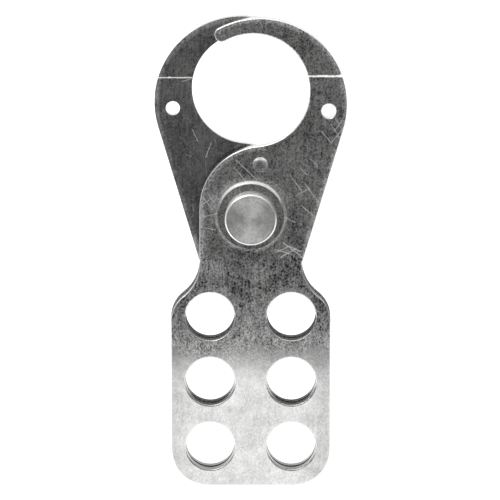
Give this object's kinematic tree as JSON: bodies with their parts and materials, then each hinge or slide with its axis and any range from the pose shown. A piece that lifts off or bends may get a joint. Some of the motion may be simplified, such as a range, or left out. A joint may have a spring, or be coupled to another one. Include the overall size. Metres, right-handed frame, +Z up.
{
  "type": "lockout hasp",
  "caption": "Steel scissor hasp: riveted jaws close round a lockout point, and padlocks through the tab holes keep them shut.",
  "frame": {"origin": "centre of the closed jaws' round opening, halfway between the plates", "axes": "+Z up through the jaws along the hasp's length, +X to the front plate's jaw, -Y out of the face with the tall rivet head"},
  "size_m": [0.0434, 0.0115, 0.1077],
  "materials": {
    "pressed_steel": "worn mill finish, finely scratched",
    "turned_steel": "turned, with fine rings"
  },
  "bodies": {
    "front_half": {"front_plate": "pressed_steel", "pivot_rivet": "turned_steel"},
    "rear_half": {"rear_plate": "pressed_steel"}
  },
  "joints": [
    {"name": "jaw_pivot", "type": "hinge", "parent": "front_half", "child": "rear_half", "pos_m": [0, 0, -0.0289], "axis": [0, -1, 0], "range_deg": [0, 70]}
  ]
}
